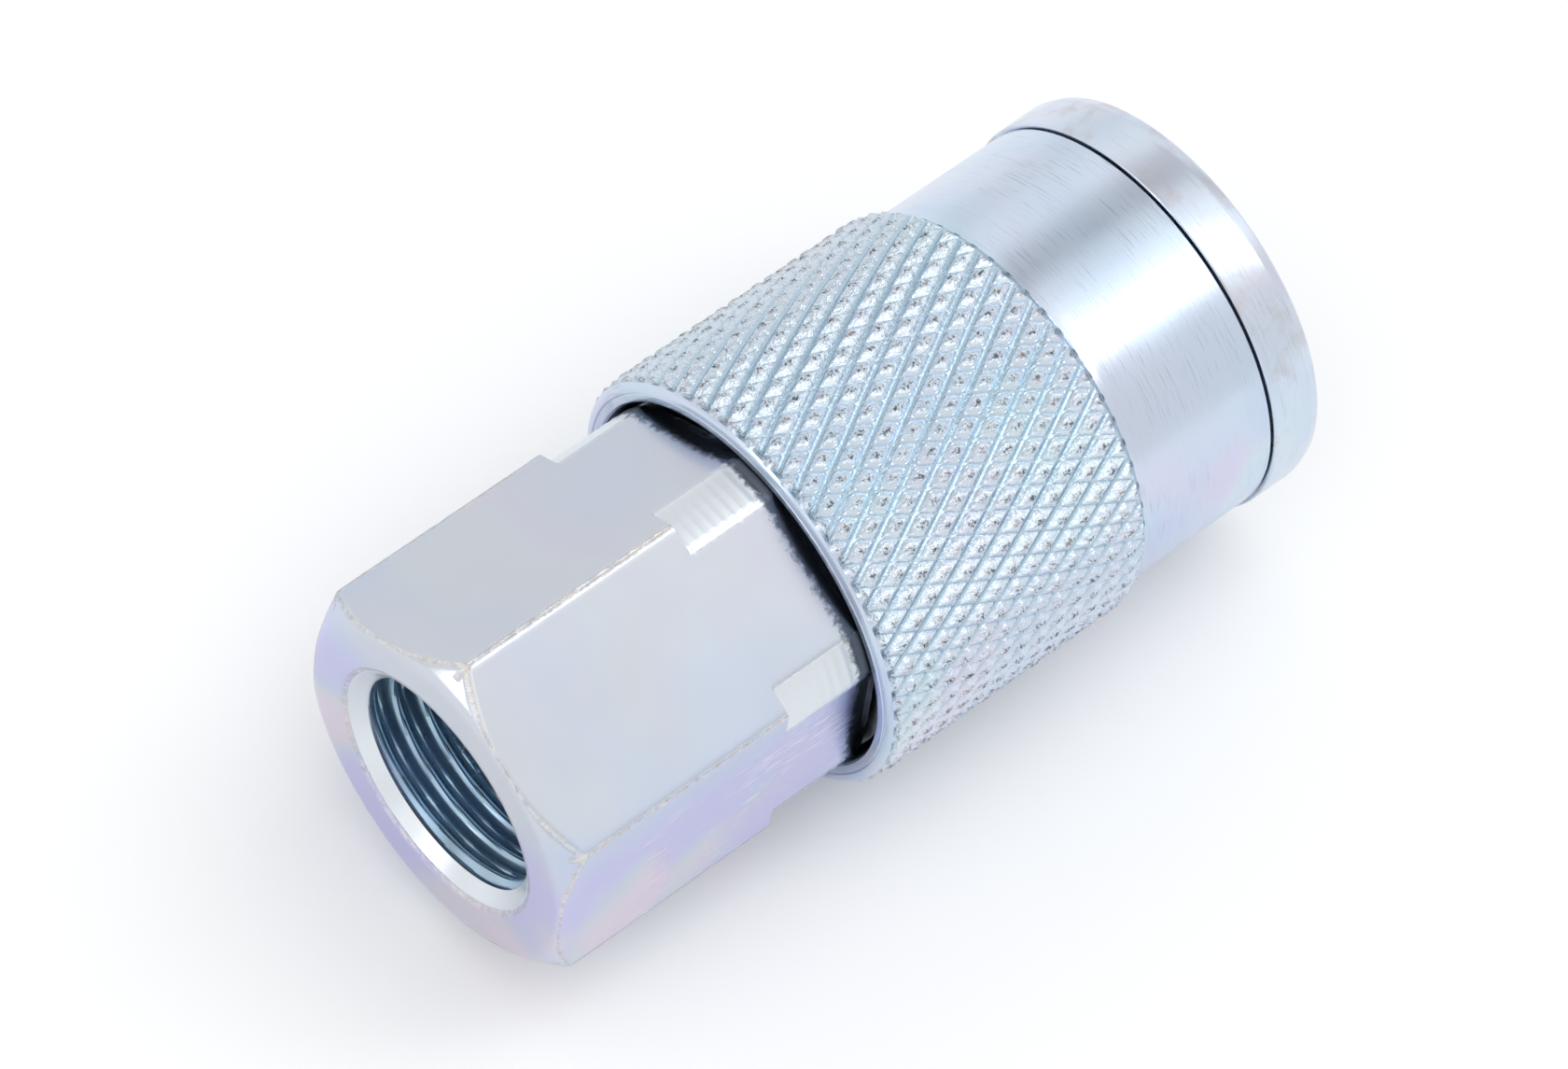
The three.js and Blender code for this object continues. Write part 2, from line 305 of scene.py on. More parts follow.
def cutterAlong(outline, direction, place, sides=32):
    # turned tool: outline of [distance, radius] along a direction from a place, both in mm
    turn = np.linspace(0, 2 * math.pi, sides, endpoint=False)
    frameAt = Vector(direction).to_track_quat("Z", "Y").to_matrix()
    verts = []
    for distance, radius in outline:
        for angle in turn:
            local = Vector((radius * math.cos(angle), radius * math.sin(angle), distance))
            verts.append((frameAt @ local + Vector(place)) * mm)
    count = len(outline)
    faces = []
    for i in range(count - 1):
        for j in range(sides):
            k = (j + 1) % sides
            faces.append((i * sides + j, i * sides + k, (i + 1) * sides + k, (i + 1) * sides + j))
    faces.append(tuple(reversed(range(sides))))
    faces.append(tuple((count - 1) * sides + j for j in range(sides)))
    mesh = bpy.data.meshes.new("cutter")
    mesh.from_pydata(verts, [], faces)
    return addObject("cutter", mesh)


def softLeast(a, b, width):
    # the smaller of two values, with the change from one to the other rounded over width
    share = np.clip(0.5 + 0.5 * (b - a) / width, 0, 1)
    return b * (1 - share) + a * share - width * share * (1 - share)


view = {
    "place": (-131.58, -132.74, 324.87),
    "right": (0.7532, -0.6513, 0.0917),
    "up": (0.5193, 0.6744, 0.5249),
    "lens": 175.2,
}


def makeCamera():
    data = bpy.data.cameras.new("camera")
    data.lens = view["lens"]
    data.sensor_width = 36
    data.clip_start = 0.01
    data.clip_end = 20
    camera = addObject("camera", data)
    right = Vector(view["right"]).normalized()
    up = Vector(view["up"])
    up = (up - up.dot(right) * right).normalized()
    turn = Matrix((right, up, right.cross(up))).transposed()
    camera.matrix_world = Matrix.Translation(Vector(view["place"]) * mm) @ turn.to_4x4()
    bpy.context.scene.camera = camera


studio = {
    # brightness of the tent round the coupler's axis: degrees from straight up, + towards +Y
    "tent": [
        (-180, 0.75), (-130, 0.85), (-100, 0.93), (-72, 0.92), (-47, 0.93), (-36, 1.0),
        (-29, 1.24), (-18, 1.48), (-6, 1.36), (13, 1.02), (24, 0.6), (34, 0.7),
        (50, 1.1), (62, 1.06), (76, 0.95), (100, 0.95), (123, 1.0), (180, 0.75),
    ],
    "floorColour": "#f9fafb",
    "floorHalf": 3.0,            # metres
    "softboxDistance": 0.45,     # metres
    # size in metres, power in watts, direction it stands in, station it lights, axis its width follows
    "softboxes": {
        "overhead_softbox": ((0.5, 0.10), 0.24, (0.35, -0.26, 0.9), 25, "X"),
        "port_card": ((0.14, 0.11), 0.07, (-0.9, 0.3, 0.21), 0, "Y"),    # seen in the countersink
    },
}


def makeStudio():
    world = bpy.data.worlds.new("tent")
    bpy.context.scene.world = world
    world.use_nodes = True
    tree = world.node_tree
    tree.nodes.clear()
    direction = addNode(tree, "TexCoord")
    sideways = addNode(tree, "SeparateXYZ", direction, pick=1)
    upwards = addNode(tree, "SeparateXYZ", direction, pick=2)
    angle = addNode(tree, "Math", sideways, upwards, operation="ARCTAN2")
    place = addNode(tree, "MapRange", angle, -math.pi, math.pi)
    brightness = addNode(tree, "ValToRGB", place)
    ramp = brightness.node.color_ramp
    ramp.interpolation = "EASE"
    stops = ramp.elements
    while len(stops) < len(studio["tent"]):
        stops.new(0.5)
    for stop, (degrees, level) in zip(stops, studio["tent"]):
        stop.position = (degrees + 180) / 360
        stop.color = (level / 2, level / 2, level / 2, 1)
    addNode(tree, "OutputWorld", addNode(tree, "Background", brightness, 2))

    for name, (size, power, aim, station, axis) in studio["softboxes"].items():
        light = bpy.data.lights.new(name, "AREA")
        light.shape = "RECTANGLE"
        light.size, light.size_y = size
        light.energy = power
        softbox = addObject(name, light)
        aim = Vector(aim).normalized()
        softbox.location = Vector((station * mm, 0, 0)) + aim * studio["softboxDistance"]
        softbox.rotation_euler = aim.to_track_quat("Z", axis).to_euler()

    floorLevel = cadBox[0][2]
    half = studio["floorHalf"]
    mesh = bpy.data.meshes.new("floor")
    corners = [(x * half, y * half, floorLevel) for x, y in ((-1, -1), (1, -1), (1, 1), (-1, 1))]
    mesh.from_pydata(corners, [], [(0, 1, 2, 3)])
    floor = addObject("floor", mesh)
    material, _, shader, _ = newMaterial("mattStudioBoard")
    shader.inputs["Base Color"].default_value = hexColour(studio["floorColour"])
    shader.inputs["Roughness"].default_value = 0.9
    shader.inputs["Specular IOR Level"].default_value = 0.1
    floor.data.materials.append(material)
    bpy.context.scene.view_settings.view_transform = "Standard"


makeCamera()
makeStudio()
print("camera, light and floor made")


zinc = {
    "blue": "#a9cfe2",
    "lavender": "#c5bde4",
    "rose": "#e8c6dc",
    "worn": "#e3dfdb",         # zinc rubbed thin on the edges
    "grime": "#aea7a2",
    "scratch": "#8797aa",
}


def zincTints(tree, coords, amount, steel, lowSide=1.0):
    # passivation film a fraction of a micron thick: slow drifts of blue, lavender and rose,
    # made stronger towards the bottom as painted shade for the underside, which faces the shadowed floor
    height = addNode(tree, "SeparateXYZ", coords, pick=2)
    # painted shade: the tints are full below 2.5 mm and fall to lowSide above 6.2 mm
    filmAndUnderShade = addNode(tree, "MapRange", height, 6.2 * mm, 2.5 * mm, lowSide, 1.0)
    slow = grain(tree, coords, (7, 10, 7), 1)
    drift = grain(tree, coords, (6, 11, 8), 1)
    along = addNode(tree, "SeparateXYZ", coords)
    drift = addNode(tree, "Math", drift, addNode(tree, "MapRange", along, 8 * mm, 18 * mm, 0.0, 0.1),
                    operation="ADD")
    colour = hexColour(steel)
    for name, noise, begins, full, share in (("blue", slow, 0.46, 0.57, 1.0),
                                             ("lavender", drift, 0.42, 0.55, 1.0),
                                             ("rose", slow, 0.45, 0.36, 0.5)):
        film = addNode(tree, "MapRange", noise, begins, full, 0.0, amount * share)
        film = addNode(tree, "Math", film, filmAndUnderShade, operation="MULTIPLY")
        colour = layered(tree, colour, (film, zinc[name]))
    return colour


def zincOnMilledSteel():
    # bright zinc on a drawn and faced hex: satin flats, tinted film, edges rubbed by spanners
    material, tree, shader, coords = newMaterial("zincPlatedMilledSteel")
    edge, bore, turned, wind = (addNode(tree, "Attribute", attribute_name=name, pick=2)
                                for name in ("edge", "bore", "turned", "wind"))
    ragged = addNode(tree, "TexNoise", coords, perMetre(0.5), 5, 0.7)
    stretch = addNode(tree, "TexNoise", coords, perMetre(3), 2, 0.55)
    rub = addNode(tree, "Math", addNode(tree, "MapRange", ragged, 0.34, 0.62),
                  addNode(tree, "MapRange", stretch, 0.3, 0.55, 0.25, 1.0), operation="MULTIPLY")
    worn = addNode(tree, "MapRange", addNode(tree, "Math", edge, rub, operation="MULTIPLY"), 0.08, 0.75)
    flecks = addNode(tree, "TexNoise", coords, perMetre(0.45), 4, 0.65)
    dirt = addNode(tree, "Math", edge, addNode(tree, "MapRange", flecks, 0.42, 0.7, 0.0, 0.7),
                   operation="MULTIPLY")
    fresh = addNode(tree, "MapRange", turned, 0.0, 0.3, 0.0, 1.0)
    # scuffs on the side it lies on
    along, sideways, upwards = (addNode(tree, "SeparateXYZ", coords, pick=i) for i in range(3))
    places = addNode(tree, "TexNoise", coords, perMetre(5), 2, 0.55)
    scuffs = addNode(tree, "MapRange", grain(tree, coords, (1.6, 0.3, 0.13)), 0.53, 0.6)
    for where, begins, full in ((places, 0.47, 0.57), (upwards, 4.5 * mm, 3.0 * mm),
                                (along, 3 * mm, 6 * mm)):
        scuffs = addNode(tree, "Math", scuffs, addNode(tree, "MapRange", where, begins, full),
                         operation="MULTIPLY")
    # painted shade: a dark ragged band on the flats near the sleeve's rear edge, standing in for the
    # gap's shade and its reflection in the flats
    wander = addNode(tree, "Math", flecks, 1.5 * mm, operation="MULTIPLY")
    paintedGapShade = addNode(tree, "MapRange", addNode(tree, "Math", along, wander, operation="ADD"), 19.5 * mm,
                     19.85 * mm, 0.0, 0.85)
    # painted shade: inside the port the zinc is painted darker and bluer, for the dim blue of the deep,
    # shaded thread
    depth = addNode(tree, "Math", bore, 0.75, operation="MULTIPLY")
    colour = layered(tree, zincTints(tree, coords, 0.8, "#c8cfd7", lowSide=0.16),
                     (worn, zinc["worn"]), (dirt, zinc["grime"]), (fresh, "#dbe1e6"),
                     (addNode(tree, "Math", scuffs, 0.45, operation="MULTIPLY"), "#f2f5f7"),
                     # painted shade: the dark band by the sleeve's edge, then the port's inside painted
                     # darker blue
                     (paintedGapShade, "#4c5663"), (depth, "#97bbce"))
    smudge = addNode(tree, "TexNoise", coords, perMetre(7), 2, 0.55)
    roughness = addNode(tree, "MapRange", smudge, 0.35, 0.65, 0.21, 0.25)
    for mark, rougher in ((worn, 0.12), (turned, 0.22), (bore, 0.03)):
        roughness = addNode(tree, "Math", roughness,
                            addNode(tree, "Math", mark, rougher, operation="MULTIPLY"), operation="ADD")
    pits = addNode(tree, "TexNoise", coords, perMetre(0.3), 2, 0.55)
    bump = addNode(tree, "Bump", Strength=0.2, Distance=0.004 * mm, Height=pits)
    bump = addNode(tree, "Bump", Strength=0.5, Distance=0.02 * mm, Height=scuffs, Normal=bump)
    dents = addNode(tree, "Math", ragged, edge, operation="MULTIPLY")
    bump = addNode(tree, "Bump", Strength=0.7, Distance=0.2 * mm, Height=dents, Normal=bump)
    # tap and reamer lines round the bore; wind is in mm
    follow = addNode(tree, "CombineXYZ", wind, sideways, upwards)
    tapLines = addNode(tree, "TexNoise",
                       addNode(tree, "VectorMath", follow, (1 / 0.12, perMetre(9), perMetre(9)),
                               operation="MULTIPLY"), 1, 3, 0.7)
    cuts = addNode(tree, "Math", tapLines,
                   addNode(tree, "Math", bore, addNode(tree, "Math", turned, 0.5, operation="MULTIPLY"),
                           operation="ADD"), operation="MULTIPLY")
    bump = addNode(tree, "Bump", Strength=0.5, Distance=0.03 * mm, Height=cuts, Normal=bump)
    plugIn(tree, shader, colour, roughness, bump)
    return material


def latheMarks(tree, coords, spacing):
    # rings round the axis, and broken scratches that run with them. A finishing cut's rings are
    # about 0.05 mm apart, too fine for the view, so they are drawn wider
    rings = grain(tree, coords, (spacing, 12, 12))
    places = addNode(tree, "TexNoise", coords, perMetre(4), 2, 0.55)
    scratches = addNode(tree, "MapRange", grain(tree, coords, (0.085, 2.2, 2.2)), 0.56, 0.66)
    return rings, addNode(tree, "Math", scratches,
                          addNode(tree, "MapRange", places, 0.38, 0.6, 0.15, 1.0), operation="MULTIPLY")


def zincOnTurnedSteel(name, colourCode, marks=0.30, rough=(0.16, 0.27), spacing=0.13, stain=0.0):
    # bright zinc over lathe marks: fine rings round the axis that draw the light into bands
    material, tree, shader, coords = newMaterial(name)
    rings, scratches = latheMarks(tree, coords, spacing)
    patches = addNode(tree, "TexNoise", coords, perMetre(2.6), 4, 0.6)
    stains = addNode(tree, "MapRange", patches, 0.52, 0.64, 0.0, stain)
    colour = layered(tree, zincTints(tree, coords, 0.18, colourCode),
                     (addNode(tree, "Math", scratches, 0.3, operation="MULTIPLY"), zinc["scratch"]),
                     (stains, "#bfbcbd"))
    smudge = addNode(tree, "TexNoise", coords, perMetre(3), 4, 0.55)
    roughness = addNode(tree, "MapRange", smudge, 0.3, 0.7, *rough)
    roughness = addNode(tree, "Math", roughness,
                        addNode(tree, "Math", stains, 0.15, operation="MULTIPLY"), operation="ADD")
    height = addNode(tree, "Math", rings, addNode(tree, "Math", scratches, 0.6, operation="MULTIPLY"),
                     operation="SUBTRACT")
    bump = addNode(tree, "Bump", Strength=marks, Distance=0.010 * mm, Height=height)
    plugIn(tree, shader, colour, roughness, bump)
    return material


def zincOnSleeve():
    # one plated surface, turned in front and rolled to a diamond knurl behind: the crests are
    # torn and bright, the grooves smooth
    material, tree, shader, coords = newMaterial("zincPlatedKnurledSteel")
    knurl, crest, deep = (addNode(tree, "Attribute", attribute_name=name, pick=2)
                          for name in ("knurl", "crest", "deep"))
    rings, scratches = latheMarks(tree, coords, 0.13)
    plain = addNode(tree, "MapRange", knurl, 0.0, 1.0, 1.0, 0.0)
    scratches = addNode(tree, "Math", scratches, plain, operation="MULTIPLY")
    # painted light: the grip is painted lighter to brighten the knurl; painted shade: its grooves are
    # painted darker blue-green
    colour = layered(tree, zincTints(tree, coords, 0.38, "#c9d9e5", lowSide=0.45),
                     (addNode(tree, "Math", scratches, 0.34, operation="MULTIPLY"), zinc["scratch"]),
                     (addNode(tree, "Math", knurl, 0.42, operation="MULTIPLY"), "#e0e9ef"),
                     (addNode(tree, "Math", deep, 0.5, operation="MULTIPLY"), "#86aec4"))
    # metal picked up by the rolling wheels: dark and rose-grey specks on the crests
    torn = addNode(tree, "TexNoise", coords, perMetre(0.17), 3, 0.7)
    specks = addNode(tree, "Math", addNode(tree, "MapRange", crest, 0.08, 0.5),
                     addNode(tree, "MapRange", torn, 0.51, 0.57), operation="MULTIPLY")
    hues = addNode(tree, "TexNoise", coords, perMetre(0.5), 1, 0.55)
    speckColour = addNode(tree, "Mix", addNode(tree, "MapRange", hues, 0.54, 0.6), hexColour("#515a63"),
                          hexColour("#a98f88"), data_type="RGBA")
    colour = addNode(tree, "Mix", addNode(tree, "Math", specks, 0.9, operation="MULTIPLY"), colour,
                     speckColour, data_type="RGBA")
    smudge = addNode(tree, "TexNoise", coords, perMetre(3), 4, 0.55)
    roughness = addNode(tree, "MapRange", smudge, 0.3, 0.7, 0.18, 0.26)
    roughness = addNode(tree, "Math", roughness,
                        addNode(tree, "Math", knurl, 0.05, operation="MULTIPLY"), operation="SUBTRACT")
    height = addNode(tree, "Math", rings, addNode(tree, "Math", scratches, 0.6, operation="MULTIPLY"),
                     operation="SUBTRACT")
    height = addNode(tree, "Math", height, plain, operation="MULTIPLY")
    bump = addNode(tree, "Bump", Strength=0.30, Distance=0.010 * mm, Height=height)
    pressed = addNode(tree, "TexNoise", coords, perMetre(0.3), 3, 0.65)
    bump = addNode(tree, "Bump", Strength=0.9, Distance=0.08 * mm,
                   Height=addNode(tree, "Math", pressed, knurl, operation="MULTIPLY"), Normal=bump)
    bump = addNode(tree, "Bump", Strength=1.0, Distance=0.26 * mm,
                   Height=addNode(tree, "Math", torn, crest, operation="MULTIPLY"), Normal=bump)
    plugIn(tree, shader, colour, roughness, bump)
    return material


def plainMetal(name, code, otherCode, rough, marks=0.2):
    # wire, strip, balls and brass: one metal with slow colour drift and fine working marks
    material, tree, shader, coords = newMaterial(name)
    slow = addNode(tree, "TexNoise", coords, perMetre(2), 3, 0.55)
    colour = layered(tree, hexColour(code), (addNode(tree, "MapRange", slow, 0.35, 0.65), otherCode))
    roughness = addNode(tree, "MapRange", slow, 0.3, 0.7, *rough)
    bump = addNode(tree, "Bump", Strength=marks, Distance=0.008 * mm,
                   Height=grain(tree, coords, (0.1, 2, 2)))
    plugIn(tree, shader, colour, roughness, bump)
    return material


def mouldedSeal(name, code, otherCode, rough):
    # moulded rubber or turned PTFE: soft sheen, faint mottling
    material, tree, shader, coords = newMaterial(name)
    mottle = addNode(tree, "TexNoise", coords, perMetre(0.6), 4, 0.55)
    colour = layered(tree, hexColour(code), (addNode(tree, "MapRange", mottle, 0.35, 0.65), otherCode))
    roughness = addNode(tree, "MapRange", mottle, 0.3, 0.7, *rough)
    bump = addNode(tree, "Bump", Strength=0.3, Distance=0.01 * mm, Height=mottle)
    plugIn(tree, shader, colour, roughness, bump, metallic=0.0)
    return material


zincPlatedMilledSteel = zincOnMilledSteel()
zincPlatedKnurledSteel = zincOnSleeve()
# the collar's ring marks are coarser and its zinc is stained in patches from the barrel
zincPlatedTumbledSteel = zincOnTurnedSteel("zincPlatedTumbledSteel", "#d0dce5", marks=0.22,
                                           rough=(0.2, 0.3), spacing=0.3, stain=0.55)
zincPlatedTurnedSteel = zincOnTurnedSteel("zincPlatedTurnedSteel", "#c9d4e0")
# dull grey wire, near-mirror balls, warm brass, black rubber, milky PTFE
drawnSpringSteel = plainMetal("drawnSpringSteel", "#8e9399", "#a4a7aa", (0.25, 0.4))
polishedBearingSteel = plainMetal("polishedBearingSteel", "#d9dcdf", "#e2e4e6", (0.05, 0.1), 0.03)
turnedBrass = plainMetal("turnedBrass", "#cdb06a", "#b9985a", (0.2, 0.32), 0.3)
mouldedNitrileRubber = mouldedSeal("mouldedNitrileRubber", "#17181a", "#232427", (0.45, 0.6))
turnedPtfe = mouldedSeal("turnedPtfe", "#e8e7e1", "#dddcd4", (0.4, 0.5))
print("materials made")


hexAdapter = {
    "acrossFlats": 19.05,
    "pointFillet": 0.24,
    "faceRadius": 9.5,
    "faceRound": 1.2,
    "chamferSlope": 1.15,       # rise of the turned chamfer per mm of length
    "hexEnd": 20.2,
    "reliefStart": 14.2,
    "reliefEnd": 19.7,
    "reliefRadius": 10.35,
    "toolMarkPitch": 0.6,       # lathe feed on the turned-down points
    "toolMarkDepth": 0.034,
    "countersink": 7.07,
    "countersinkSlope": 1.15,   # fall in radius per mm of depth
    "pitch": 1.411,             # 18 threads to the inch
    "threadRoot": 6.85,
    "threadCrest": 6.12,
    "threadTaper": 1 / 32,      # fall in radius per mm of depth
    "threadStart": 0.75,        # where the first turn starts, inside the countersink
    "threadRunIn": 0.8,         # length over which it reaches full depth
    "portDepth": 12.3,
    "drillEdge": 5.2,           # radius of the floor's edge behind the thread
    "passage": 4.2,
    "chamberRear": 14.3,
    "chamber": 5.5,
    "boss": 7.2,
    "bossEnd": adapterBox[1],
    "grooveWidth": 1.5,
    "grooveDepth": 0.92,
    "columnsPerFlat": 60,
}


def hexRadius(angles):
    # distance from the axis to the hex, its points rounded by the fillet
    a = hexAdapter
    flat = a["acrossFlats"] / 2
    fromFlat = np.mod(angles, math.pi / 3) - math.pi / 6
    core = flat - a["pointFillet"]
    tangent = math.atan(core * math.tan(math.pi / 6) / flat)
    straight = flat / np.cos(fromFlat)
    fromPoint = math.pi / 6 - np.abs(fromFlat)
    centre = core / math.cos(math.pi / 6)
    inside = np.maximum(a["pointFillet"] ** 2 - (centre * np.sin(fromPoint)) ** 2, 0)
    arc = centre * np.cos(fromPoint) + np.sqrt(inside)
    return np.where(np.abs(fromFlat) < tangent, straight, arc), fromPoint


def hexColumns():
    # columns close together at the points, where the edges are
    count = hexAdapter["columnsPerFlat"]
    share = np.linspace(-1, 1, count, endpoint=False)
    inward = 1 - np.abs(share)
    spread = np.sign(share) * (1 - 0.62 * inward - 0.38 * inward ** 2) * math.pi / 6
    return np.concatenate([spread + math.pi / 6 + k * math.pi / 3 for k in range(6)])


def threadBore(x, angles):
    # radius of the tapped hole: broad flanks, narrow flat crests, right hand
    a = hexAdapter
    phase = np.mod(x / a["pitch"] + angles / (2 * math.pi), 1.0)
    ridge = np.abs(phase - 0.5) * 2            # 0 at the crest, 1 at the root
    ridge = np.clip((ridge - 0.04) / 0.86, 0, 1)
    ridge = ridge * ridge * (3 - 2 * ridge)
    begun = np.clip((x - a["threadStart"]) / a["threadRunIn"], 0, 1)
    depth = (a["threadRoot"] - a["threadCrest"]) * begun
    return a["threadCrest"] + depth * ridge - a["threadTaper"] * x


def makeAdapter():
    a = hexAdapter
    angles = hexColumns()
    columns = len(angles)
    hexAt, fromPoint = hexRadius(angles)
    full = np.ones(columns)
    random = np.random.default_rng(3)
    rows = []                                   # station, radius, then edge, bore and turned marks

    def add(x, radius, edge=0.0, bore=0.0, turned=0.0):
        rows.append((x * full, radius * full, edge * full, bore * full, turned * full))

    # inside, from the boss back to the port
    for x, radius in [(a["bossEnd"], a["chamber"] + 0.3), (a["bossEnd"] - 0.3, a["chamber"]),
                      (a["chamberRear"], a["chamber"]), (a["chamberRear"], a["passage"] + 0.15),
                      (a["chamberRear"] - 0.15, a["passage"]), (a["portDepth"] + 0.15, a["passage"]),
                      (a["portDepth"], a["passage"] + 0.15), (a["portDepth"], a["drillEdge"])]:
        add(x, radius, bore=1.0)
    # tapped hole, cut by the countersink at its mouth
    turns = np.concatenate([np.arange(a["portDepth"], 8, -0.14), np.arange(8, 0.3, -0.1)])
    for x in turns:
        thread = threadBore(x, angles)
        sink = a["countersink"] - a["countersinkSlope"] * x
        radius = np.maximum(thread, sink)
        inner = float(np.clip((x - 0.8) / 0.3, 0, 1))
        inCone = sink > thread
        add(x, radius, bore=np.where(inCone, 0.0, inner), turned=0.3 * inCone)
    for x in (0.22, 0.16):
        add(x, a["countersink"] - a["countersinkSlope"] * x, turned=0.3)
    for x, fall, edge in ((0.13, 0.13, 0.5), (0.04, 0.03, 0.7)):
        add(x, a["countersink"] - fall, edge=edge)
    # flat end face
    for x, radius, edge in [(0.0, a["countersink"] + 0.05, 0.7), (0.0, a["countersink"] + 0.2, 0.0),
                            (0.0, 8.2, 0.0), (0.0, 8.8, 0.0), (0.0, a["faceRadius"] - 0.35, 0.0)]:
        add(x, radius, edge=edge)
    # turned chamfer running out over the hex
    stations = np.concatenate([[0.01, 0.04, 0.08, 0.13, 0.18, 0.24], np.linspace(0.31, 1.75, 26),
                               np.linspace(1.95, a["reliefStart"] - 0.3, 36),
                               a["reliefStart"] - np.array([0.15, 0.07, 0.02])])
    for x in stations:
        cone = a["faceRadius"] + a["chamferSlope"] * x + 0.1
        if x < 0.3:
            # the end face rolls over into the chamfer
            cone = a["faceRadius"] - 0.35 + math.sqrt(a["faceRound"] ** 2 - (a["faceRound"] - x) ** 2)
        radius = softLeast(hexAt, cone * full, 0.26)
        meeting = np.exp(-((hexAt - cone) / 0.15) ** 2)
        point = np.exp(-(fromPoint * 11 / 0.14) ** 2) * (x > 0.6)
        edge = np.clip(meeting + point, 0, 1)
        nicks = np.abs(random.normal(0, 0.014, columns)) * edge
        add(x, radius - nicks, edge=edge)
    # points turned down in front, with the feed marks of the tool
    start, end = a["reliefStart"], a["reliefEnd"]
    for x in np.concatenate([[start], np.arange(start + 0.02, end, 0.085), [end]]):
        wave = 0.5 - 0.5 * math.cos(2 * math.pi * (x - start) / a["toolMarkPitch"])
        cut = a["reliefRadius"] - a["toolMarkDepth"] * (wave ** 0.6) + random.normal(0, 0.003)
        radius = softLeast(hexAt, cut * full, 0.02)
        meeting = np.exp(-((hexAt - cut) / 0.05) ** 2)
        turned = np.clip((hexAt - cut) / 0.03, 0, 1)
        add(x, radius, edge=0.4 * meeting, turned=turned)
    for x, limit in [(a["hexEnd"] - 0.35, a["reliefRadius"] - 0.05),
                     (a["hexEnd"] - 0.12, a["reliefRadius"] - 0.25),
                     (a["hexEnd"] - 0.05, 9.6), (a["hexEnd"], 9.4)]:
        add(x, np.minimum(hexAt, limit), edge=0.2)
    # boss with the O-ring groove
    groove = oRingBox[0] - 0.05
    grooveEnd = groove + a["grooveWidth"]
    floor = a["boss"] - a["grooveDepth"]
    for x, radius in [(a["hexEnd"], a["boss"]), (groove, a["boss"]), (groove, floor), (grooveEnd, floor),
                      (grooveEnd, a["boss"]), (a["bossEnd"] - 0.4, a["boss"]),
                      (a["bossEnd"], a["boss"] - 0.4)]:
        add(x, radius)
    x, radius, edge, bore, turned = (np.array(part) for part in zip(*rows))
    points = roundTheAxis(x, radius, angles)
    faces = skinFaces(len(rows), columns)
    wind = x + a["pitch"] * angles / (2 * math.pi)        # distance along the axis, following the thread
    marks = {"edge": edge.ravel(), "bore": bore.ravel(), "turned": turned.ravel(), "wind": wind.ravel()}
    newPiece("hex_adapter_body", points.reshape(-1, 3), faces, "coupler_body", ["rear_adapter"],
             zincPlatedMilledSteel, 28, marks)


makeAdapter()
print("hex adapter made")


sleeve = {
    "rear": sleeveBox[0],
    "front": sleeveBox[1],
    "knurlRadius": sleeveBox[2],
    "plainRadius": 11.28,
    "knurlFront": 36.94,
    "rimFall": (0.72, 0.42, 0.18, 0.04, 0.0),    # how far the rear edge lies under the grip
    "chamber": 10.55,
    "shoulder": ballPlane - 5.5,
    "land": 8.7,                # holds the balls in
    "landFront": ballPlane + 0.2,
    "recess": 9.65,             # room for the balls once the sleeve is back
    "recessRear": ballPlane + 5,
    "recessFront": ballPlane + 7,
    "grooves": 54,              # knurl grooves of each hand round the sleeve
    "slant": 30,                # degrees from the axis
    "depth": 0.46,
    "samples": 10,              # grid steps to one knurl repeat
    "station": 28,
    "offsetA": 3.32,            # where the grooves of each hand cross that station, in degrees
    "offsetB": 2.03,
    "secondCut": 0.82,          # depth of the second hand's grooves, as a share of the first's
}


def knurlHeight(x, angles, craters):
    # height above the grooves, 0 to 1, and how close a point is to a crest
    s = sleeve
    repeat = 2 * math.pi / s["grooves"]
    drift = math.tan(math.radians(s["slant"])) / s["knurlRadius"] * (x - s["station"])
    u = (angles - math.radians(s["offsetA"]) + drift) / repeat
    v = (angles - math.radians(s["offsetB"]) - drift) / repeat
    uFrom = np.abs(u - np.round(u)) * 2          # 0 in a groove, 1 midway
    vFrom = np.abs(v - np.round(v)) * 2
    deep = np.clip((uFrom - 0.13) / 0.74, 0, 1)
    shallow = 1 - s["secondCut"] * (1 - np.clip((vFrom - 0.03) / 0.8, 0, 1))
    height = softLeast(deep, shallow, 0.05)
    cell = (np.floor(u).astype(int) * 31 + np.floor(v).astype(int) * 17) % len(craters)
    fromTop = np.hypot(uFrom - 1, vFrom - 1)
    crater = np.exp(-(fromTop / 0.16) ** 2) * craters[cell]
    crest = np.exp(-(fromTop / 0.38) ** 2)
    return height - crater, crest


def sleeveOutside(x):
    # outer radius of the blank before knurling: broken rear edge, grip, chamfer down to the plain front
    s = sleeve
    rim = np.interp(x - s["rear"], [0, 0.1, 0.3, 0.6, 1.0], s["knurlRadius"] - np.array(s["rimFall"]))
    chamfer = s["plainRadius"] + (s["knurlFront"] - x)
    return np.where(x > s["knurlFront"] - 0.7, np.minimum(rim, np.maximum(chamfer, s["plainRadius"])),
                    rim)


